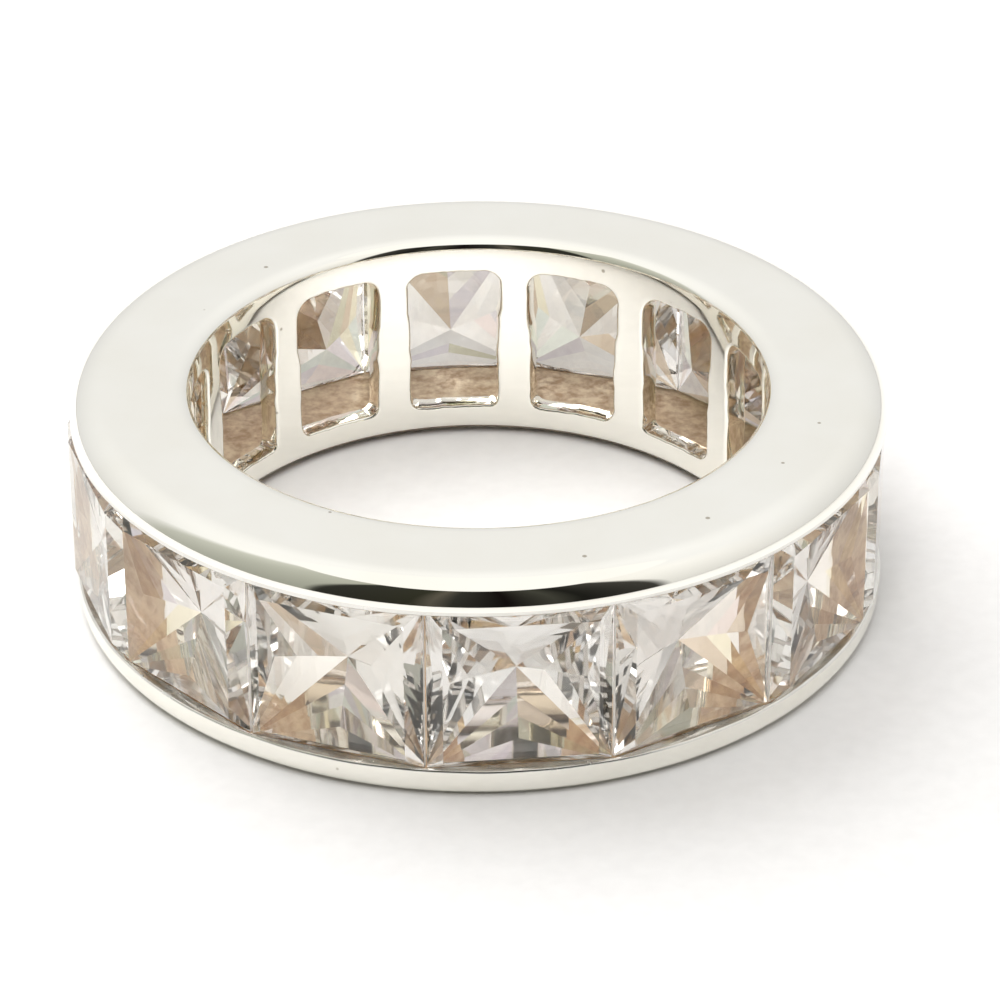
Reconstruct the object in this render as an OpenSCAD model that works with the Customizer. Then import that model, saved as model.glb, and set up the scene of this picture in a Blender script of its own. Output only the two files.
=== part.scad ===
// Channel-set band ring: square crystals all the way round between two polished rails.
// The ring lies on its side, with the finger hole along Z and the lower rail at Z = 0.
// Lengths are in millimetres.

/* [Band] */
// Inside diameter, which is the finger size
finger_d = 16.5; // [16.3:0.1:16.7]
// Outside diameter over the two rails
outer_d = 23.3; // [23.3:0.1:23.7]
// Height as it lies, which is the ring's width on the finger
band_h = 6.7; // [6.6:0.1:7.1]
// Thickness of the inner wall, where the bars stand
wall_t = 0.6; // [0.5:0.05:0.7]
// Rounding of the outer rim edges
outer_round = 0.7; // [0.5:0.05:0.75]
// Rounding of the finger hole's edges
inner_round = 0.3; // [0.2:0.05:0.4]

/* [Stones] */
// Side of a square stone at its girdle
stone_w = 5.0; // [4.96:0.01:5.02]
// Height of the crown, from girdle to table
crown_h = 0.4; // [0.34:0.02:0.46]
// Depth of the pavilion, from girdle to culet
pavilion_h = 2.1; // [1.9:0.05:2.3]
// Side of the square table
table_w = 4.2; // [4.0:0.05:4.3]

/* [Setting] */
// How far a rail's lip covers a stone's edge
lip_cover = 0.07; // [0.06:0.01:0.1]
// Width of a bar between two windows
bar_w = 0.92; // [0.8:0.04:1.08]
// Height of a window in the inner wall
window_h = 4.62; // [4.5:0.02:4.8]
// Rounding of a window's corners
window_round = 0.45; // [0.3:0.05:0.55]

/* [Hidden] */
NODES = [
    "band",
    "stone_01", "stone_02", "stone_03", "stone_04", "stone_05", "stone_06", "stone_07",
    "stone_08", "stone_09", "stone_10", "stone_11", "stone_12", "stone_13", "stone_14"
];
$fn = 96;

silver = [0.90, 0.89, 0.87];
crystal = [0.93, 0.91, 0.89, 0.6];

// Clearances that keep a stone free of its neighbours and of the metal
stone_gap = 0.06;
edge_gap = 0.04;
// Past a face by this much, so that a cut goes right through it
through = 1;

stone_count = len(NODES) - 1;
stone_turn = 360 / stone_count;
mid_z = band_h / 2;

finger_r = finger_d / 2;
outer_r = outer_d / 2;
wall_r = finger_r + wall_t;

// Distance from the axis to the middle of a stone's girdle, and how steeply its crown rises
girdle_h = 0.12;
girdle_r = (stone_w + stone_gap) / 2 / tan(stone_turn / 2);
crown_slope = 2 * crown_h / (stone_w - table_w);

// The channel, and the grooves in the rails that hold the girdles
channel_h = stone_w - 2 * lip_cover;
groove_h = stone_w + 2 * edge_gap;
groove_in_r = girdle_r - girdle_h / 2 - 4 * edge_gap;
// Distance from the axis to the flat inner face of a lip, just clear of a stone's crown
lip_in_r = girdle_r + girdle_h / 2 + lip_cover * crown_slope + edge_gap;

window_w = 2 * finger_r * sin(stone_turn / 2) - bar_w;

// Pavilion along the middle of a side: half width and depth, each as a share, girdle to culet
PAVILION_STEPS = [[1, 0], [0.74, 0.33], [0.52, 0.56], [0.30, 0.76], [0, 1]];

// A rectangle whose corners are true arcs
module round_slot(w, h, r) {
    square([w - 2 * r, h], center = true);
    square([w, h - 2 * r], center = true);
    for (x = [-1, 1], y = [-1, 1])
        translate([x * (w / 2 - r), y * (h / 2 - r)]) circle(r);
}

// The waste that rounds a convex corner, with the corner at the origin and metal towards -X -Y
module corner_waste(r) {
    difference() {
        translate([-r, -r]) square(r + through);
        translate([-r, -r]) circle(r);
    }
}

// Half section through the whole ring, with the radius along X and the height along Y
module rim_section() {
    difference() {
        translate([finger_r, 0]) square([outer_r - finger_r, band_h]);
        translate([outer_r, band_h]) corner_waste(outer_round);
        translate([outer_r, 0]) mirror([0, 1]) corner_waste(outer_round);
        translate([finger_r, band_h]) mirror([1, 0]) corner_waste(inner_round);
        translate([finger_r, 0]) rotate(180) corner_waste(inner_round);
    }
}

// The same for the channel between the rails
module channel_section() {
    translate([wall_r, mid_z - channel_h / 2]) square([outer_r, channel_h]);
}

// The two grooves that hold the stones' edges, cut together, with one flat side for each stone
module groove_cut() {
    corner_r = lip_in_r / cos(stone_turn / 2);
    difference() {
        translate([0, 0, mid_z - groove_h / 2])
            linear_extrude(groove_h)
                polygon([for (i = [1 : stone_count]) let (a = i * stone_turn)
                    [corner_r * sin(a), -corner_r * cos(a)]]);
        cylinder(h = band_h, r = groove_in_r);
    }
}

// Cuts one window through the inner wall, behind the stone on the -Y side
module window_cut() {
    translate([0, through - finger_r, mid_z])
        rotate([90, 0, 0])
            linear_extrude(wall_t + 2 * through)
                round_slot(window_w, window_h, window_round);
}

// Turn of stone number i about the axis, with a seam at the ring's front
function stone_angle(i) = (i - 0.5) * stone_turn;

// The cast band: rails, inner wall and bars in one piece
module band() {
    color(silver)
        difference() {
            rotate_extrude() rim_section();
            rotate_extrude() channel_section();
            groove_cut();
            for (i = [1 : stone_count]) rotate(stone_angle(i)) window_cut();
        }
}

// Corners of a square of side w at height z, counter-clockwise from above
function square_points(w, z) = [for (s = [[-1, -1], [1, -1], [1, 1], [-1, 1]]) [s.x * w / 2, s.y * w / 2, z]];

// Points in the middles of that square's sides, in the same order
function side_points(w, z) = [for (s = [[0, -1], [1, 0], [0, 1], [-1, 0]]) [s.x * w / 2, s.y * w / 2, z]];

// One cut stone, standing on its culet along Z, with the girdle's middle at Z = 0.
// The crown has a table, four star facets and eight corner facets.
// The pavilion has chevron facets that fan out from the four corners down to the culet.
module cut_stone() {
    steps = len(PAVILION_STEPS);
    inner = [for (k = [1 : steps - 2])
        side_points(stone_w * PAVILION_STEPS[k][0], -girdle_h / 2 - pavilion_h * PAVILION_STEPS[k][1])];
    points = concat(
        square_points(table_w, girdle_h / 2 + crown_h),
        side_points(stone_w, girdle_h / 2),
        square_points(stone_w, girdle_h / 2),
        square_points(stone_w, -girdle_h / 2),
        [for (ring = inner, p = ring) p],
        [[0, 0, -girdle_h / 2 - pavilion_h]]
    );
    // First numbers of the table, the crown's girdle middles and the two rows of girdle corners
    table = 0;
    middle = 4;
    upper = 8;
    lower = 12;
    first = 16;
    culet = first + 4 * len(inner);
    // Number of the middle point of side i at pavilion step k, which ends at the culet
    function mid(i, k) = k > len(inner) ? culet : first + 4 * (k - 1) + i;
    faces = concat(
        [[table + 3, table + 2, table + 1, table]],
        [for (i = [0 : 3]) let (j = (i + 1) % 4) each [
            [table + i, table + j, middle + i],
            [table + i, middle + i, upper + i],
            [table + j, upper + j, middle + i],
            [lower + j, lower + i, upper + i, middle + i, upper + j],
            [lower + i, lower + j, mid(i, 1)],
            each [for (k = [1 : len(inner)]) each [
                [lower + i, mid(i, k), mid(i, k + 1)],
                [lower + j, mid(i, k + 1), mid(i, k)]
            ]]
        ]]
    );
    polyhedron(points, faces);
}

// Stone number i in its place in the channel, table outwards
module stone(i) {
    color(crystal)
        rotate(stone_angle(i))
            translate([0, -girdle_r, mid_z])
                rotate([90, 0, 0])
                    cut_stone();
}

band();
for (i = [1 : stone_count])
    stone(i);
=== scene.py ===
import math
import random

import bmesh
import bpy
from mathutils import Matrix, Vector, noise


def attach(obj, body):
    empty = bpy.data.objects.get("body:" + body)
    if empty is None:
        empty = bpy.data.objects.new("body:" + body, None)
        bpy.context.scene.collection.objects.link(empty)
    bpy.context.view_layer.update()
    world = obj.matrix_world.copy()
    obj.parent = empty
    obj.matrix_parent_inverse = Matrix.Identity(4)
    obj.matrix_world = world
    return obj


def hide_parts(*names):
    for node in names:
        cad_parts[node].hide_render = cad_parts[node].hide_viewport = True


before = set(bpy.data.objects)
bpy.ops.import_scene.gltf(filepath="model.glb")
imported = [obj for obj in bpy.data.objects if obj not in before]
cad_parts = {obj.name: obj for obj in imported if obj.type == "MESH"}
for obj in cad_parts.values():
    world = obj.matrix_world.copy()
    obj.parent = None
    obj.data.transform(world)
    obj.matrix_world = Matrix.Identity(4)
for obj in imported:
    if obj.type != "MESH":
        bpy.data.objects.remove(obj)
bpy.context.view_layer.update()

# THE CASTING
# Two flat rails and the inner wall between them, cast in one piece of silver and polished.
# Behind each stone the wall is pierced by a window, which leaves a row of narrow upright bars.
# The caster files each window by hand, so no two have quite the same outline.
MM = 0.001
STONE_COUNT = 14
STONE_TURN = 2 * math.pi / STONE_COUNT

FINGER_R = 8.25
RAIL_R = 11.65
RING_H = 6.7
MID_Z = RING_H / 2
WALL_R = 8.85
CHANNEL_HALF = 2.43
GROOVE_HALF = 2.54
GROOVE_IN_R = 10.865
LIP_IN_R = 11.255
LIP_SOFT = 0.07
LIP_BREAK = 0.02
SEAT_MARGIN = 0.5

# How the rolled edges tighten from the flat face (tilt 0) to the upright wall (tilt 90)
TOP_OUTER_ROLL = ((0, 1.2), (30, 0.96), (60, 0.74), (90, 0.52))
TOP_INNER_ROLL = ((0, 0.85), (30, 0.5), (60, 0.2), (90, 0.16))
LOW_OUTER_ROLL = ((0, 0.7), (30, 0.6), (60, 0.5), (90, 0.42))
LOW_INNER_ROLL = ((0, 1.3), (30, 0.9), (60, 0.34), (90, 0.24))
OUTER_ROLL_STEPS = 20
INNER_ROLL_STEPS = 12
FLAT_STEPS = 6
ROUND_STEPS = 4

# Where the pierced part of the wall begins, and its windows
WALL_FROM_EDGE = 0.62
WINDOW_W = 2.752
WINDOW_H = 4.62
WINDOW_TOP_ROUND = 0.5
WINDOW_LOW_ROUND = 0.36
WINDOW_SOFT = 0.075

# What the file does to a window: each side is cut wider above a step, and keeps a nick of metal
# further down; ranges are in millimetres from the window's middle or from its clean side
WINDOW_SEED = 410
STEP_UP = (0.45, 1.0)
STEP_SIZE = (0.05, 0.1)
STEP_LENGTH = 0.05
NICK_DOWN = (0.2, 0.9)
NICK_SIZE = 0.05
NICK_LENGTH = 0.16
WINDOW_SHIFT = 0.04
ROUND_UNEVEN = 0.08
SIDE_SPARE = 0.035
SOFT_UNEVEN = 0.35
# The file's marks, coarse and fine: depth, closeness, and how far apart two windows are taken
FILE_MARKS = ((0.022, 2.6, 7.3), (0.012, 7.0, 3.1))
FILE_LIFT = 1.6
SOFT_APART = 5.7

# Quads along the sides of one bay, and half the steps of a rounded window corner
COLUMNS_PER_BAY = 28
ROWS_PER_BAR = 26
SIDE_COUNTS = (COLUMNS_PER_BAY, ROWS_PER_BAR, COLUMNS_PER_BAY, ROWS_PER_BAR)
CORNER_STEPS = 6
# Rows of quads from a bay's frame to its window in front, and back to the frame behind it
FRONT_ROWS = (1.0, 0.72, 0.46, 0.22, 0.08)
BACK_ROWS = (0.5, 1.0)
# How the window's back edge is softened: short of the wall's back, and grown by this share
BACK_EDGE = ((0.03, 0.0), (0.008, 0.12), (0.0, 0.4))
WELD = 2e-7
CREASE = math.radians(48)

# The finishes of the casting, in the order of its material slots; the last is painted shade, not a
# finish
POLISHED, AS_CAST, BURNISHED, FOOT_SHADE = range(4)

# Rows of a rail that the wheel doesn't polish: the seat and the lip before it, counted back
# from the last row. Counted from the first, the underside of the lower inner edge, painted dark
# as shade: a painted contact shadow that shows as a dark line round the foot of the finger hole
SEAT_ROWS = 7
TOP_LIP_ROWS = 13
LOW_LIP_ROWS = 12
FOOT_ROWS = range(6, 13)


def quarter_turn():
    """The angles of a small softened edge, from its start to its end."""
    return [math.radians(90 / ROUND_STEPS * k) for k in range(ROUND_STEPS + 1)]


def rolled_edge(tightening, steps):
    """Points of a rolled edge, face to wall, as (inset from the wall, drop from the face)."""
    out, drop, points = 0.0, 0.0, [(0.0, 0.0)]
    fine = 12
    for k in range(steps * fine):
        tilt = 90 * (k + 0.5) / (steps * fine)
        for (a, ra), (b, rb) in zip(tightening, tightening[1:]):
            if a <= tilt <= b:
                radius = ra + (rb - ra) * (tilt - a) / (b - a)
                break
        arc = radius * math.radians(90 / (steps * fine))
        out += arc * math.cos(math.radians(tilt))
        drop += arc * math.sin(math.radians(tilt))
        if (k + 1) % fine == 0:
            points.append((out, drop))
    width = points[-1][0]
    return [(width - o, d) for o, d in points]


def hand_wave(seed, parts):
    """A gentle closed wave round the ring, as filing and burnishing leave it."""
    rng = random.Random(seed)
    terms = [(n, rng.uniform(0.5, 1.0) * size, rng.uniform(0, 2 * math.pi)) for n, size in parts]
    return lambda angle: sum(a * math.sin(n * angle + p) for n, a, p in terms)


def rail_section(outer, inner, angle, lip_wave):
    """Half section of a rail, from the wall over the face to the channel: (radius, drop)."""
    roof = MID_Z - CHANNEL_HALF
    groove = MID_Z - GROOVE_HALF
    off_middle = angle % STONE_TURN - STONE_TURN / 2
    lip_in = LIP_IN_R / math.cos(off_middle)
    section = [(FINGER_R, WALL_FROM_EDGE)]
    inner_rolled = reversed(rolled_edge(inner, INNER_ROLL_STEPS))
    section += [(FINGER_R + inset, drop) for inset, drop in inner_rolled]
    inner_end = section[-1][0]
    rolled = rolled_edge(outer, OUTER_ROLL_STEPS)
    outer_start = RAIL_R - rolled[0][0]
    for k in range(1, FLAT_STEPS):
        section.append((inner_end + (outer_start - inner_end) * (k / FLAT_STEPS), 0.0))
    section += [(RAIL_R - inset, drop) for inset, drop in rolled]
    lip = roof + lip_wave
    for turn in quarter_turn():
        inset, rise = LIP_SOFT * (1 - math.cos(turn)), LIP_SOFT * (1 - math.sin(turn))
        section.append((RAIL_R - inset, lip - rise))
    section += [(lip_in + LIP_BREAK, lip), (lip_in, lip - LIP_BREAK)]
    section += [(lip_in, groove), (GROOVE_IN_R, groove), (GROOVE_IN_R, roof)]
    section += [(WALL_R + SEAT_MARGIN, roof), (WALL_R, roof)]
    return section


def clean_window(rounds):
    """A window before filing, as (sideways, height) points clockwise from its upper left corner."""
    top, low = MID_Z + WINDOW_H / 2, MID_Z - WINDOW_H / 2
    corners = ((-1, top, 180, 90), (1, top, 90, 0), (1, low, 0, -90), (-1, low, -90, -180))
    arcs = []
    for (side, edge, a, b), radius in zip(corners, rounds):
        centre_x = side * (WINDOW_W / 2 - radius)
        centre_z = edge - math.copysign(radius, edge - MID_Z)
        steps = 2 * CORNER_STEPS
        turns = [math.radians(a + (b - a) * k / steps) for k in range(steps + 1)]
        arcs.append([
            (centre_x + radius * math.cos(turn), centre_z + radius * math.sin(turn))
            for turn in turns
        ])
    points = []
    for k, count in enumerate(SIDE_COUNTS):
        here, there = arcs[k][CORNER_STEPS:], arcs[(k + 1) % 4][: CORNER_STEPS + 1]
        (ax, az), (bx, bz) = here[-1], there[0]
        straight = count - 2 * CORNER_STEPS
        shares = [n / straight for n in range(straight)]
        points += here[:-1]
        points += [(ax + (bx - ax) * share, az + (bz - az) * share) for share in shares]
        points += there[:-1]
    return points


def window_outline(index):
    """One window as it is filed, in the same points as a clean one."""
    rng = random.Random(WINDOW_SEED + index)
    step_at = [MID_Z + rng.uniform(*STEP_UP), MID_Z + rng.uniform(*STEP_UP)]
    step_by = [rng.uniform(*STEP_SIZE), rng.uniform(*STEP_SIZE)]
    nick_at = [MID_Z - rng.uniform(*NICK_DOWN), MID_Z - rng.uniform(*NICK_DOWN)]
    shift = rng.uniform(-WINDOW_SHIFT, WINDOW_SHIFT)
    rounds = [
        size + rng.uniform(-ROUND_UNEVEN, ROUND_UNEVEN)
        for size in (WINDOW_TOP_ROUND, WINDOW_TOP_ROUND, WINDOW_LOW_ROUND, WINDOW_LOW_ROUND)
    ]
    filed = []
    for x, z in clean_window(rounds):
        side = 0 if x < 0 else 1
        sign = -1 if x < 0 else 1
        # 1 at the window's sides, falling to 0 towards its middle
        reach = min(1.0, abs(x) / (WINDOW_W / 2)) ** 4
        wide = step_by[side] / (1 + math.exp(-(z - step_at[side]) / STEP_LENGTH)) - SIDE_SPARE
        nick = NICK_SIZE * math.exp(-(((z - nick_at[side]) / NICK_LENGTH) ** 2))
        rough = sum(
            depth * noise.noise(Vector((x * close, z * close, apart * index)))
            for depth, close, apart in FILE_MARKS
        )
        lift = (1 - reach) * rough * FILE_LIFT
        sideways = x + shift + sign * reach * (wide - nick + rough)
        filed.append((sideways, z + math.copysign(1, z - MID_Z) * lift))
    return filed


def outline_normals(points):
    """Unit normals of a closed clockwise outline, pointing out of the opening."""
    normals = []
    for n in range(len(points)):
        (ax, az), (bx, bz) = points[n - 1], points[(n + 1) % len(points)]
        dx, dz = bx - ax, bz - az
        size = math.hypot(dx, dz)
        normals.append((-dz / size, dx / size))
    return normals


def bay_frame(low, high):
    """The sides of one bay as (angle, height) points, in the order of a window's outline."""
    half = STONE_TURN / 2
    corners = ((-half, high), (half, high), (half, low), (-half, low))
    points = []
    for k, count in enumerate(SIDE_COUNTS):
        (a, za), (b, zb) = corners[k], corners[(k + 1) % 4]
        points += [(a + (b - a) * n / count, za + (zb - za) * n / count) for n in range(count)]
    return points


def round_ring(radius, angle, height):
    """A point on the ring in metres; the angle starts at the front and turns anticlockwise."""
    return Vector((radius * math.sin(angle) * MM, -radius * math.cos(angle) * MM, height * MM))


def make_casting():
    """The whole casting as one mesh: the upper rail, the lower rail and fourteen bays of wall."""
    mesh = bmesh.new()

    def strip(rows, finish_of):
        """Joins neighbouring rows of points with quads, each row in its own finish."""
        made = [[mesh.verts.new(p) for p in row] for row in rows]
        size = len(rows[0])
        for r in range(len(made) - 1):
            for n in range(size):
                m = (n + 1) % size
                face = mesh.faces.new((made[r][n], made[r][m], made[r + 1][m], made[r + 1][n]))
                face.smooth = True
                face.material_index = finish_of(r)

    def rail(outer_roll, inner_roll, lip_wave, height_at, lip_rows, foot_rows):
        """One rail, turned all the way round; height_at turns a drop from its face into a height."""
        columns = []
        for n in range(STONE_COUNT * COLUMNS_PER_BAY):
            angle = STONE_TURN * (n / COLUMNS_PER_BAY)
            section = rail_section(outer_roll, inner_roll, angle, lip_wave(angle))
            columns.append([round_ring(r, angle, height_at(drop)) for r, drop in section])
        rows = list(zip(*columns))

        def finish_of(row):
            if row >= len(rows) - SEAT_ROWS:
                return AS_CAST
            if row >= len(rows) - lip_rows:
                return BURNISHED
            # The foot rows take painted shade, the dark contact line round the finger hole
            return FOOT_SHADE if row in foot_rows else POLISHED

        strip(rows, finish_of)

    upper_lip = hand_wave(seed=11, parts=((2, 0.012), (5, 0.008), (14, 0.006), (31, 0.004)))
    lower_lip = hand_wave(seed=12, parts=((3, 0.014), (7, 0.010), (17, 0.010), (39, 0.007)))
    rail(TOP_OUTER_ROLL, TOP_INNER_ROLL, upper_lip, lambda drop: RING_H - drop, TOP_LIP_ROWS, ())
    rail(LOW_OUTER_ROLL, LOW_INNER_ROLL, lower_lip, lambda drop: drop, LOW_LIP_ROWS, FOOT_ROWS)

    front_frame = bay_frame(WALL_FROM_EDGE, RING_H - WALL_FROM_EDGE)
    back_frame = bay_frame(MID_Z - CHANNEL_HALF, MID_Z + CHANNEL_HALF)
    for bay in range(STONE_COUNT):
        middle = (bay + 0.5) * STONE_TURN
        outline = window_outline(bay)
        normals = outline_normals(outline)
        softness = [
            WINDOW_SOFT * (1 + SOFT_UNEVEN * noise.noise(Vector((x, z, bay * SOFT_APART))))
            for x, z in outline
        ]

        def edge_row(radius, grow, sink=0.0):
            """The window's edge at a radius, grown and sunk by shares of its softness."""
            row = []
            for (x, z), (nx, nz), soft in zip(outline, normals, softness):
                r = radius + soft * sink
                row.append((math.asin((x + nx * soft * grow) / r), z + nz * soft * grow, r))
            return row

        def spread(edge, frame_points, shares, radius):
            """Rows between the window's edge (share 0) and the bay's frame (share 1)."""
            return [
                [
                    (a + (fa - a) * share, z + (fz - z) * share, radius)
                    for (a, z, _), (fa, fz) in zip(edge, frame_points)
                ]
                for share in shares
            ]

        # In from the bay's frame, round the softened edge, through the wall and out behind it
        rows = spread(edge_row(FINGER_R, 1.0), front_frame, FRONT_ROWS, FINGER_R)
        for turn in quarter_turn():
            rows.append(edge_row(FINGER_R, 1 - math.sin(turn), sink=1 - math.cos(turn)))
        rows.append(edge_row((FINGER_R + WALL_R) / 2, 0.0))
        back_start = len(rows)
        rows += [edge_row(WALL_R - short, grow) for short, grow in BACK_EDGE]
        rows += spread(rows[-1], back_frame, BACK_ROWS, WALL_R)
        strip(
            [[round_ring(r, middle + a, z) for a, z, r in row] for row in rows],
            lambda row: AS_CAST if row >= back_start else POLISHED,
        )

    bmesh.ops.remove_doubles(mesh, verts=mesh.verts, dist=WELD)
    bmesh.ops.recalc_face_normals(mesh, faces=mesh.faces)
    data = bpy.data.meshes.new("silver_band")
    mesh.to_mesh(data)
    mesh.free()
    data.set_sharp_from_angle(angle=CREASE)
    return data


def build_mottle():
    """Soft cloudy variation over a surface: a colour between two others, and a mask."""
    group = bpy.data.node_groups.new("mottle", "ShaderNodeTree")
    for name, kind, value in (
        ("Scale", "NodeSocketFloat", 400.0),
        ("Detail", "NodeSocketFloat", 2.0),
        ("Grain", "NodeSocketFloat", 0.5),
        ("Start", "NodeSocketFloat", 0.3),
        ("End", "NodeSocketFloat", 0.7),
        ("Low", "NodeSocketColor", (0.8, 0.8, 0.8, 1)),
        ("High", "NodeSocketColor", (0.9, 0.9, 0.9, 1)),
    ):
        socket = group.interface.new_socket(name=name, in_out="INPUT", socket_type=kind)
        socket.default_value = value
    group.interface.new_socket(name="Color", in_out="OUTPUT", socket_type="NodeSocketColor")
    group.interface.new_socket(name="Mask", in_out="OUTPUT", socket_type="NodeSocketFloat")
    nodes, links = group.nodes, group.links
    given = nodes.new("NodeGroupInput")
    result = nodes.new("NodeGroupOutput")
    place = nodes.new("ShaderNodeTexCoord")
    cloud = nodes.new("ShaderNodeTexNoise")
    links.new(place.outputs["Object"], cloud.inputs["Vector"])
    links.new(given.outputs["Scale"], cloud.inputs["Scale"])
    links.new(given.outputs["Detail"], cloud.inputs["Detail"])
    links.new(given.outputs["Grain"], cloud.inputs["Roughness"])
    share = nodes.new("ShaderNodeMapRange")
    links.new(cloud.outputs["Fac"], share.inputs["Value"])
    links.new(given.outputs["Start"], share.inputs["From Min"])
    links.new(given.outputs["End"], share.inputs["From Max"])
    blend = nodes.new("ShaderNodeMix")
    blend.data_type = "RGBA"
    links.new(share.outputs["Result"], blend.inputs["Factor"])
    links.new(given.outputs["Low"], blend.inputs["A"])
    links.new(given.outputs["High"], blend.inputs["B"])
    links.new(blend.outputs["Result"], result.inputs["Color"])
    links.new(cloud.outputs["Fac"], result.inputs["Mask"])
    return group


MOTTLE = build_mottle()


def new_finish(name):
    """A new material, its nodes and links, and its shader."""
    material = bpy.data.materials.new(name)
    material.use_nodes = True
    tree = material.node_tree
    return material, tree.nodes, tree.links, tree.nodes["Principled BSDF"]


def mottled(nodes, **values):
    """Places the mottle in a material with values of its own."""
    node = nodes.new("ShaderNodeGroup")
    node.node_tree = MOTTLE
    for name, value in values.items():
        node.inputs[name].default_value = value
    return node


def rescale(nodes, links, mask, start, end, low, high):
    """A mask made to run from low, where it was at start, to high, where it was at end."""
    node = nodes.new("ShaderNodeMapRange")
    node.inputs["From Min"].default_value = start
    node.inputs["From Max"].default_value = end
    node.inputs["To Min"].default_value = low
    node.inputs["To Max"].default_value = high
    links.new(mask, node.inputs["Value"])
    return node.outputs["Result"]


def vary_roughness(nodes, links, mask, shader, low, high, start=0.0, end=1.0):
    """Lets the roughness follow a mask."""
    links.new(rescale(nodes, links, mask, start, end, low, high), shader.inputs["Roughness"])


def raise_surface(nodes, links, mask, shader, strength, distance):
    """Lets the surface rise and fall with a mask, over a distance in metres."""
    bump = nodes.new("ShaderNodeBump")
    bump.inputs["Strength"].default_value = strength
    bump.inputs["Distance"].default_value = distance
    links.new(mask, bump.inputs["Height"])
    links.new(bump.outputs["Normal"], shader.inputs["Normal"])


def polished_silver():
    """Sterling silver from the polishing wheel, with faint wheel marks and a few pits drawn as small
    darker specks.
    """
    material, nodes, links, metal = new_finish("polished_silver")
    metal.inputs["Metallic"].default_value = 1.0
    tone = mottled(
        nodes, Scale=420, Detail=3, Low=(0.960, 0.940, 0.865, 1), High=(0.985, 0.970, 0.905, 1)
    )
    place = nodes.new("ShaderNodeTexCoord")
    pits = nodes.new("ShaderNodeTexVoronoi")
    pits.inputs["Scale"].default_value = 700
    links.new(place.outputs["Object"], pits.inputs["Vector"])
    pitted = rescale(
        nodes, links, pits.outputs["Distance"], start=0.035, end=0.055, low=1.0, high=0.0
    )
    marked = nodes.new("ShaderNodeMix")
    marked.data_type = "RGBA"
    marked.inputs["B"].default_value = (0.50, 0.46, 0.38, 1)
    links.new(pitted, marked.inputs["Factor"])
    links.new(tone.outputs["Color"], marked.inputs["A"])
    links.new(marked.outputs["Result"], metal.inputs["Base Color"])
    haze = mottled(nodes, Scale=900, Detail=4).outputs["Mask"]
    vary_roughness(nodes, links, haze, metal, low=0.02, high=0.06, start=0.3, end=0.75)
    wheel = mottled(nodes, Scale=700).outputs["Mask"]
    raise_surface(nodes, links, wheel, metal, strength=0.25, distance=0.000004)
    return material


def uneven_silver(name, metallic, tone, dull, relief):
    """Silver that no wheel polished, with one mottle for its colour, roughness and relief."""
    material, nodes, links, metal = new_finish(name)
    metal.inputs["Metallic"].default_value = metallic
    skin = mottled(nodes, **tone)
    links.new(skin.outputs["Color"], metal.inputs["Base Color"])
    vary_roughness(nodes, links, skin.outputs["Mask"], metal, **dull)
    raise_surface(nodes, links, skin.outputs["Mask"], metal, **relief)
    return material


def cast_silver():
    """The seat behind the stones, left as cast and darkened, where no wheel reaches."""
    return uneven_silver(
        "cast_silver",
        metallic=0.4,
        tone={
            "Scale": 2800, "Detail": 5, "Grain": 0.6, "Start": 0.36, "End": 0.62,
            "Low": (0.55, 0.39, 0.26, 1), "High": (0.80, 0.665, 0.49, 1),
        },
        dull={"low": 0.6, "high": 0.38, "start": 0.3, "end": 0.7},
        relief={"strength": 0.6, "distance": 0.00002},
    )


def burnished_silver():
    """The rails' lips, rubbed down over the stones' edges by hand, so duller than the faces."""
    return uneven_silver(
        "burnished_silver",
        metallic=1.0,
        tone={
            "Scale": 1100, "Detail": 4,
            "Low": (0.76, 0.745, 0.70, 1), "High": (0.87, 0.86, 0.82, 1),
        },
        dull={"low": 0.16, "high": 0.34},
        relief={"strength": 0.4, "distance": 0.00001},
    )


def painted_foot_shade():
    """Painted shade: dark brown on the underside of the lower inner edge, for its contact shadow."""
    return uneven_silver(
        "painted_foot_shade",
        metallic=0.5,
        tone={
            "Scale": 3200, "Detail": 4,
            "Low": (0.16, 0.12, 0.085, 1), "High": (0.34, 0.28, 0.22, 1),
        },
        dull={"low": 0.4, "high": 0.6},
        relief={"strength": 0.4, "distance": 0.00001},
    )


band_mesh = make_casting()
for make_finish in (polished_silver, cast_silver, burnished_silver, painted_foot_shade):
    band_mesh.materials.append(make_finish())
band = bpy.data.objects.new("silver_band", band_mesh)
bpy.context.scene.collection.objects.link(band)
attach(band, "root")
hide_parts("band")

# THE STONES
# Fourteen square crystals, princess cut, set edge to edge in the channel.
# Each is ground and polished with flat facets: a table and bezels in front, chevrons behind.
STONE_W = 5.0
STONE_R = 11.085
GIRDLE_H = 0.12
CROWN_H = 0.4
TABLE_W = 4.2
PAVILION_H = 2.1
CRYSTAL_IOR = 1.76

# Along the middle of a side, girdle to culet: half width and depth, each as a share
CHEVRONS = ((1, 0), (0.74, 0.33), (0.52, 0.56), (0.30, 0.76), (0, 1))

# The parts of a stone, in the order of its material slots
CROWN, GIRDLE, PAVILION = range(3)

# Multiplied with the way that a facet faces, this gives the facet its place on the ramp of painted
# tints
FACET_SPREAD = (-31.8, -12.1, -56.0)


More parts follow.
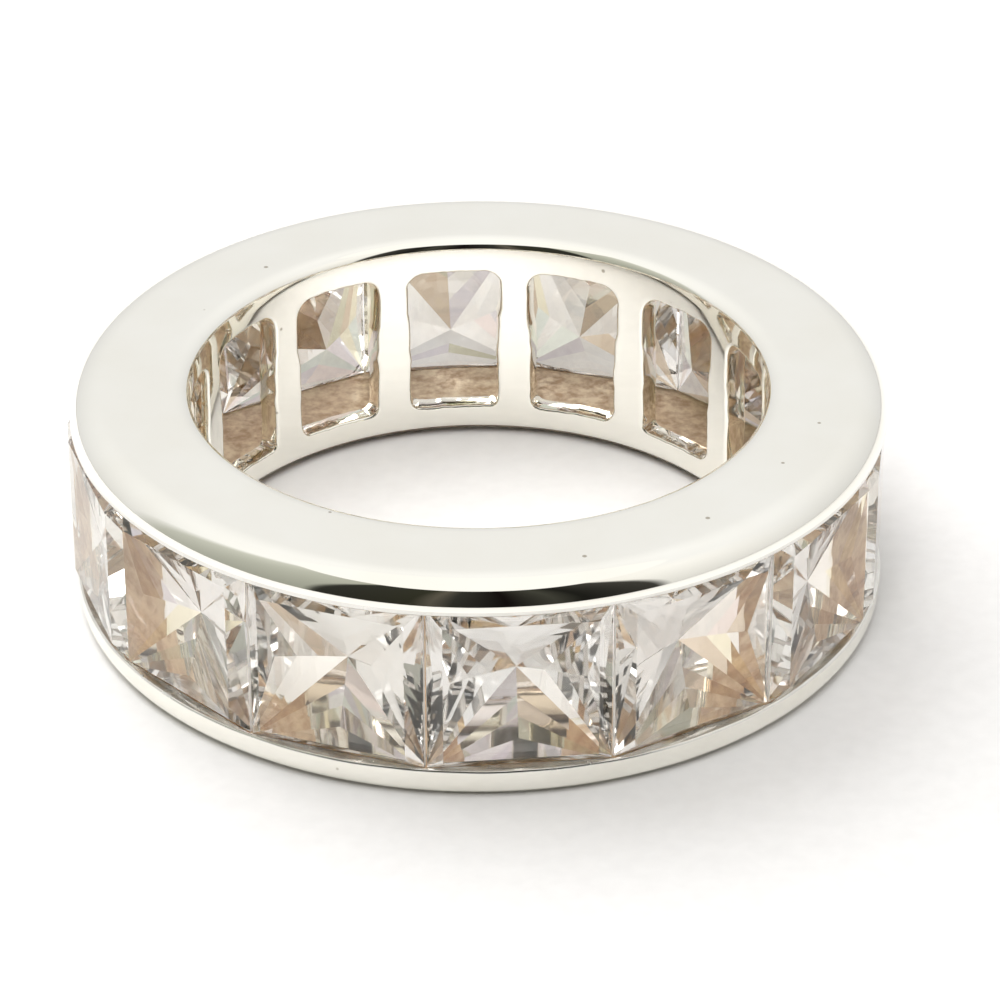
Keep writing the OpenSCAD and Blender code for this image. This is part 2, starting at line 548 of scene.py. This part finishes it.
def cut_stone(index):
    """One stone's mesh in its place, with its table outwards."""
    mesh = bmesh.new()
    angle = (index - 0.5) * STONE_TURN
    sideways = Vector((math.cos(angle), math.sin(angle), 0))
    outwards = Vector((math.sin(angle), -math.cos(angle), 0))
    seat = outwards * STONE_R + Vector((0, 0, MID_Z))

    def point(x, z, depth):
        return mesh.verts.new((seat + sideways * x + Vector((0, 0, z)) + outwards * depth) * MM)

    def row(spots, width, depth):
        return [point(sx * width / 2, sz * width / 2, depth) for sx, sz in spots]

    def square(width, depth):
        return row(((-1, -1), (1, -1), (1, 1), (-1, 1)), width, depth)

    def sides(width, depth):
        return row(((0, -1), (1, 0), (0, 1), (-1, 0)), width, depth)

    def facet(part, *corners):
        mesh.faces.new(corners).material_index = part

    table = square(TABLE_W, GIRDLE_H / 2 + CROWN_H)
    middle = sides(STONE_W, GIRDLE_H / 2)
    upper = square(STONE_W, GIRDLE_H / 2)
    lower = square(STONE_W, -GIRDLE_H / 2)
    chevrons = [sides(STONE_W * w, -GIRDLE_H / 2 - PAVILION_H * d) for w, d in CHEVRONS[1:-1]]
    culet = point(0, 0, -GIRDLE_H / 2 - PAVILION_H)
    facet(CROWN, *table)
    for i in range(4):
        j = (i + 1) % 4
        facet(CROWN, table[i], middle[i], table[j])
        facet(CROWN, table[i], upper[i], middle[i])
        facet(CROWN, table[j], middle[i], upper[j])
        facet(GIRDLE, lower[j], lower[i], upper[i], middle[i], upper[j])
        ridge = [chevron[i] for chevron in chevrons] + [culet]
        facet(PAVILION, lower[i], lower[j], ridge[0])
        for a, b in zip(ridge, ridge[1:]):
            facet(PAVILION, lower[i], a, b)
            facet(PAVILION, lower[j], b, a)
    bmesh.ops.recalc_face_normals(mesh, faces=mesh.faces)
    data = bpy.data.meshes.new(f"crystal_{index:02d}")
    mesh.to_mesh(data)
    mesh.free()
    return data


def fill_ramp(node, stops):
    """Sets a colour ramp's stops, each a place and a colour."""
    while len(node.color_ramp.elements) < len(stops):
        node.color_ramp.elements.new(0.5)
    for element, (at, shade) in zip(node.color_ramp.elements, stops):
        element.position = at
        element.color = (*shade, 1)


def build_painted_facet_tints():
    """Painted fire and reflections: each facet takes a tint by the way it faces, for split light and
    mirrored surroundings.
    """
    group = bpy.data.node_groups.new("painted_facet_tints", "ShaderNodeTree")
    group.interface.new_socket(name="Body", in_out="INPUT", socket_type="NodeSocketColor")
    group.interface.new_socket(name="Painted Tint", in_out="INPUT", socket_type="NodeSocketFloat")
    group.interface.new_socket(name="Color", in_out="OUTPUT", socket_type="NodeSocketColor")
    nodes, links = group.nodes, group.links
    given = nodes.new("NodeGroupInput")
    result = nodes.new("NodeGroupOutput")
    facing = nodes.new("ShaderNodeNewGeometry")
    pick = nodes.new("ShaderNodeVectorMath")
    pick.operation = "DOT_PRODUCT"
    pick.inputs[1].default_value = FACET_SPREAD
    links.new(facing.outputs["True Normal"], pick.inputs[0])
    share = nodes.new("ShaderNodeMath")
    share.operation = "FRACT"
    links.new(pick.outputs["Value"], share.inputs[0])
    painted_tint_ramp = nodes.new("ShaderNodeValToRGB")
    painted_tint_ramp.color_ramp.interpolation = "CONSTANT"
    # Painted fire and painted reflections: the pale colours stand for split light, the tan and olive
    # for surroundings mirrored in the facets
    fill_ramp(painted_tint_ramp, (
        (0.00, (1.00, 1.00, 1.00)),
        (0.28, (0.76, 0.71, 0.82)),
        (0.40, (1.00, 1.00, 1.00)),
        (0.55, (0.60, 0.44, 0.29)),
        (0.67, (1.00, 1.00, 1.00)),
        (0.76, (1.00, 0.93, 0.62)),
        (0.81, (0.52, 0.51, 0.33)),
        (0.88, (0.82, 0.96, 0.90)),
        (0.94, (1.00, 0.84, 0.84)),
    ))
    links.new(share.outputs["Value"], painted_tint_ramp.inputs["Fac"])
    split = nodes.new("ShaderNodeMix")
    split.data_type = "RGBA"
    split.blend_type = "MULTIPLY"
    links.new(given.outputs["Painted Tint"], split.inputs["Factor"])
    links.new(given.outputs["Body"], split.inputs["A"])
    links.new(painted_tint_ramp.outputs["Color"], split.inputs["B"])
    links.new(split.outputs["Result"], result.inputs["Color"])
    return group


PAINTED_FACET_TINTS = build_painted_facet_tints()


def clear_crystal(name, low, high, painted_tint):
    """Polished clear crystal, tinted from low to high; painted_tint is the strength of the facets'
    painted fire and reflection tints.
    """
    material, nodes, links, glass = new_finish(name)
    glass.inputs["Transmission Weight"].default_value = 1.0
    glass.inputs["IOR"].default_value = CRYSTAL_IOR
    glass.inputs["Roughness"].default_value = 0.025
    body = mottled(nodes, Scale=260, Start=0.35, End=0.65, Low=low, High=high)
    facets = nodes.new("ShaderNodeGroup")
    facets.node_tree = PAINTED_FACET_TINTS
    facets.inputs["Painted Tint"].default_value = painted_tint
    links.new(body.outputs["Color"], facets.inputs["Body"])
    links.new(facets.outputs["Color"], glass.inputs["Base Color"])
    return material


def ground_girdle():
    """The stone's narrow edge, ground matt where the polishing lap doesn't reach."""
    material, nodes, links, glass = new_finish("ground_girdle")
    glass.inputs["Transmission Weight"].default_value = 0.15
    glass.inputs["IOR"].default_value = CRYSTAL_IOR
    grain = mottled(
        nodes, Scale=9000, Start=0.0, End=1.0, Low=(0.88, 0.85, 0.80, 1), High=(1.00, 0.99, 0.97, 1)
    )
    links.new(grain.outputs["Color"], glass.inputs["Base Color"])
    vary_roughness(nodes, links, grain.outputs["Mask"], glass, low=0.35, high=0.6)
    return material


# The crown takes a little of the painted facet tints, the pavilion nearly all of them
crystal_finishes = (
    clear_crystal("crystal_crown", (0.770, 0.745, 0.700, 1), (0.805, 0.790, 0.760, 1), painted_tint=0.12),
    ground_girdle(),
    clear_crystal("crystal_pavilion", (0.872, 0.835, 0.782, 1), (0.905, 0.884, 0.848, 1), painted_tint=0.95),
)
for number in range(1, STONE_COUNT + 1):
    stone_mesh = cut_stone(number)
    for finish in crystal_finishes:
        stone_mesh.materials.append(finish)
    stone = bpy.data.objects.new(f"crystal_{number:02d}", stone_mesh)
    bpy.context.scene.collection.objects.link(stone)
    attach(stone, "root")
    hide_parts(f"stone_{number:02d}")

# THE TABLE TOP
# A plain white board of matt card that the ring lies on.
# It is wide enough to fill the view, and isn't part of the ring.
FLOOR_R = 1.5
FLOOR_SIDES = 72


def white_board():
    """Matt card with a faint mottle."""
    material, nodes, links, card = new_finish("white_board")
    card.inputs["Roughness"].default_value = 0.6
    card.inputs["Specular IOR Level"].default_value = 0.2
    tone = mottled(nodes, Scale=1800, Low=(0.795, 0.785, 0.775, 1), High=(0.825, 0.815, 0.805, 1))
    links.new(tone.outputs["Color"], card.inputs["Base Color"])
    return material


rim = [math.radians(360 / FLOOR_SIDES * k) for k in range(FLOOR_SIDES)]
floor_mesh = bpy.data.meshes.new("floor")
floor_mesh.from_pydata(
    [(FLOOR_R * math.cos(a), FLOOR_R * math.sin(a), 0) for a in rim], [], [tuple(range(FLOOR_SIDES))]
)
floor_mesh.materials.append(white_board())
floor = bpy.data.objects.new("floor", floor_mesh)
bpy.context.scene.collection.objects.link(floor)

# THE LIGHT
# A white light tent round the ring, open towards the camera, where the room is dark.
# Three lamps inside it, which aren't mirrored in the metal, give the board its soft shadows.
FRONT_TURN = math.radians(7.4)

# Round the tent: back, left side, the dark opening, right side, back. 0.5 is towards the camera.
TENT_WALL = (
    (0.00, (0.90, 0.90, 0.90)),
    (0.215, (0.92, 0.92, 0.91)),
    (0.245, (0.56, 0.57, 0.51)),
    (0.30, (0.46, 0.47, 0.41)),
    (0.372, (0.40, 0.41, 0.35)),
    (0.380, (0.03, 0.03, 0.025)),
    (0.45, (0.03, 0.03, 0.02)),
    (0.465, (0.10, 0.09, 0.07)),
    (0.48, (0.03, 0.03, 0.025)),
    (0.52, (0.006, 0.004, 0.004)),
    (0.555, (0.05, 0.05, 0.04)),
    (0.575, (0.012, 0.012, 0.01)),
    (0.630, (0.05, 0.048, 0.042)),
    (0.640, (0.88, 0.87, 0.84)),
    (0.72, (0.90, 0.89, 0.87)),
    (0.80, (0.86, 0.86, 0.86)),
    (1.00, (0.90, 0.90, 0.90)),
)
# Up the tent, level (0) to straight overhead (1): its wall's brightness, and where its roof begins
TENT_LIFT = ((0.00, (0.84, 0.84, 0.84)), (0.32, (0.98, 0.98, 0.98)), (0.62, (1.12, 1.12, 1.12)))
ROOF_FROM = ((0.722, (0, 0, 0)), (0.734, (1, 1, 1)))
ROOF = (1.06, 1.05, 1.03, 1)
# Round the tent: the part that lights the seats through the stones, and how brightly it does
SEAT_LIGHT_FROM = ((0.12, (0, 0, 0)), (0.22, (1, 1, 1)), (0.78, (1, 1, 1)), (0.88, (0, 0, 0)))
SEAT_LIGHT = (6.0, 5.9, 5.8, 1)
BACKDROP = (0.95, 0.95, 0.95, 1)
# How much dimmer the tent is for what matt surfaces gather from it
MATT_DIM = 0.33


def tent_light():
    """The tent as the world's light, whose brightness depends on the direction."""
    world = bpy.data.worlds.new("light_tent")
    bpy.context.scene.world = world
    world.use_nodes = True
    nodes, links = world.node_tree.nodes, world.node_tree.links
    nodes.clear()
    out = nodes.new("ShaderNodeOutputWorld")
    glow = nodes.new("ShaderNodeBackground")
    links.new(glow.outputs["Background"], out.inputs["Surface"])

    def feed(socket, value):
        """Gives a socket a plain value, or links it to another socket."""
        if isinstance(value, (int, float, tuple)):
            socket.default_value = value
        else:
            links.new(value, socket)

    def calc(operation, *values):
        node = nodes.new("ShaderNodeMath")
        node.operation = operation
        for socket, value in zip(node.inputs, values):
            feed(socket, value)
        return node.outputs["Value"]

    def ramp(value, stops):
        node = nodes.new("ShaderNodeValToRGB")
        fill_ramp(node, stops)
        links.new(value, node.inputs["Fac"])
        return node.outputs["Color"]

    def blend(kind, share, first, second):
        node = nodes.new("ShaderNodeMix")
        node.data_type = "RGBA"
        node.blend_type = kind
        feed(node.inputs["Factor"], share)
        feed(node.inputs["A"], first)
        feed(node.inputs["B"], second)
        return node.outputs["Result"]

    place = nodes.new("ShaderNodeTexCoord")
    turned = nodes.new("ShaderNodeVectorRotate")
    turned.rotation_type = "Z_AXIS"
    turned.inputs["Angle"].default_value = -FRONT_TURN
    links.new(place.outputs["Generated"], turned.inputs["Vector"])
    parts = nodes.new("ShaderNodeSeparateXYZ")
    links.new(turned.outputs["Vector"], parts.inputs["Vector"])

    # Bearing: back 0, left, camera 0.5, right, back 1. Height: level 0, overhead 1.
    bearing = calc("ARCTAN2", parts.outputs["X"], calc("MULTIPLY", parts.outputs["Y"], -1.0))
    bearing = calc("ADD", calc("DIVIDE", bearing, 2 * math.pi), 0.5)
    height = calc("DIVIDE", calc("ARCSINE", parts.outputs["Z"]), math.pi / 2)
    wall = blend("MULTIPLY", 1.0, ramp(bearing, TENT_WALL), ramp(height, TENT_LIFT))
    tent = blend("MIX", ramp(height, ROOF_FROM), wall, ROOF)

    # The seats behind the stones are lit through them from the open side too
    path = nodes.new("ShaderNodeLightPath")
    past_seat = calc("GREATER_THAN", path.outputs["Diffuse Depth"], 0.5)
    through = calc("MULTIPLY", path.outputs["Is Transmission Ray"], past_seat)
    through = calc("MULTIPLY", through, ramp(bearing, SEAT_LIGHT_FROM))
    lit = blend("LIGHTEN", through, tent, SEAT_LIGHT)

    # What the camera itself sees past the board is plain and pale
    seen = blend("MIX", path.outputs["Is Camera Ray"], lit, BACKDROP)
    links.new(seen, glow.inputs["Color"])
    strength = calc("MULTIPLY_ADD", path.outputs["Is Diffuse Ray"], -MATT_DIM, 1.0)
    links.new(strength, glow.inputs["Strength"])


tent_light()


def hang_lamp(name, kind, energy, place, aim=(0, 0, 0)):
    """Hangs a lamp that isn't mirrored in the metal, pointed at a place."""
    data = bpy.data.lights.new(name, kind)
    data.energy = energy
    lamp = bpy.data.objects.new(name, data)
    lamp.location = place
    lamp.rotation_mode = "QUATERNION"
    lamp.rotation_quaternion = (Vector(aim) - lamp.location).to_track_quat("-Z", "Y")
    lamp.visible_glossy = False
    bpy.context.scene.collection.objects.link(lamp)
    return lamp


# A window at the left, and a soft lamp above the camera that fills the shadow in front
for name, energy, size, place in (
    ("window_light", 0.75, 0.30, (-0.15, 0.11, 0.26)),
    ("front_light", 0.82, 0.25, (0.0, -0.20, 0.33)),
):
    soft_lamp = hang_lamp(name, "AREA", energy, place)
    soft_lamp.data.shape = "DISK"
    soft_lamp.data.size = size

# A narrow lamp overhead, which lights the board inside the finger hole
HOLE_LIGHT_R = 8.4
HOLE_LIGHT_UP = 300
hole_lamp = hang_lamp(
    "hole_light", "SPOT", 0.32, (0, -0.03, HOLE_LIGHT_UP * MM), aim=(0, 0, RING_H * MM)
)
hole_lamp.data.spot_size = 2 * math.atan(HOLE_LIGHT_R / HOLE_LIGHT_UP)
hole_lamp.data.spot_blend = 0.35
hole_lamp.data.shadow_soft_size = 0.004
hole_lamp.visible_transmission = False

# THE CAMERA
# A long lens a hand's width from the ring, looking down at a little over thirty degrees.
# Its small turns point it so that the ring fills the picture as it does in the photo.
CAMERA_AWAY = 129.2
CAMERA_RISE = math.radians(31.5)
CAMERA_YAW = math.radians(-0.27)
CAMERA_PITCH = math.radians(0.965)
CAMERA_ROLL = math.radians(0.26)
LENS_PIXELS = 4417
PICTURE_PIXELS = 1000
SENSOR_MM = 36

eye = Vector((0, -math.cos(CAMERA_RISE), math.sin(CAMERA_RISE))) * CAMERA_AWAY * MM
ahead = (-eye).normalized()
right = Vector((1, 0, 0))
up = right.cross(ahead)
yaw = Matrix.Rotation(CAMERA_YAW, 3, up)
ahead, right = yaw @ ahead, yaw @ right
pitch = Matrix.Rotation(CAMERA_PITCH, 3, right)
ahead, up = pitch @ ahead, pitch @ up
roll = Matrix.Rotation(CAMERA_ROLL, 3, ahead)
right, up = roll @ right, roll @ up
stand = Matrix((
    (right.x, up.x, -ahead.x, eye.x),
    (right.y, up.y, -ahead.y, eye.y),
    (right.z, up.z, -ahead.z, eye.z),
    (0, 0, 0, 1),
))

camera_data = bpy.data.cameras.new("camera")
camera_data.sensor_width = SENSOR_MM
camera_data.lens = LENS_PIXELS / PICTURE_PIXELS * SENSOR_MM
camera_data.clip_start = 0.005
camera_data.clip_end = 10
camera = bpy.data.objects.new("camera", camera_data)
camera.matrix_world = Matrix.Rotation(FRONT_TURN, 4, "Z") @ stand
bpy.context.scene.collection.objects.link(camera)
bpy.context.scene.camera = camera

# Light crosses many facets before it comes out of a stone again
scene = bpy.context.scene
scene.cycles.max_bounces = 24
scene.cycles.transmission_bounces = 24
scene.cycles.glossy_bounces = 12
scene.cycles.use_denoising = True
scene.view_settings.view_transform = "Standard"
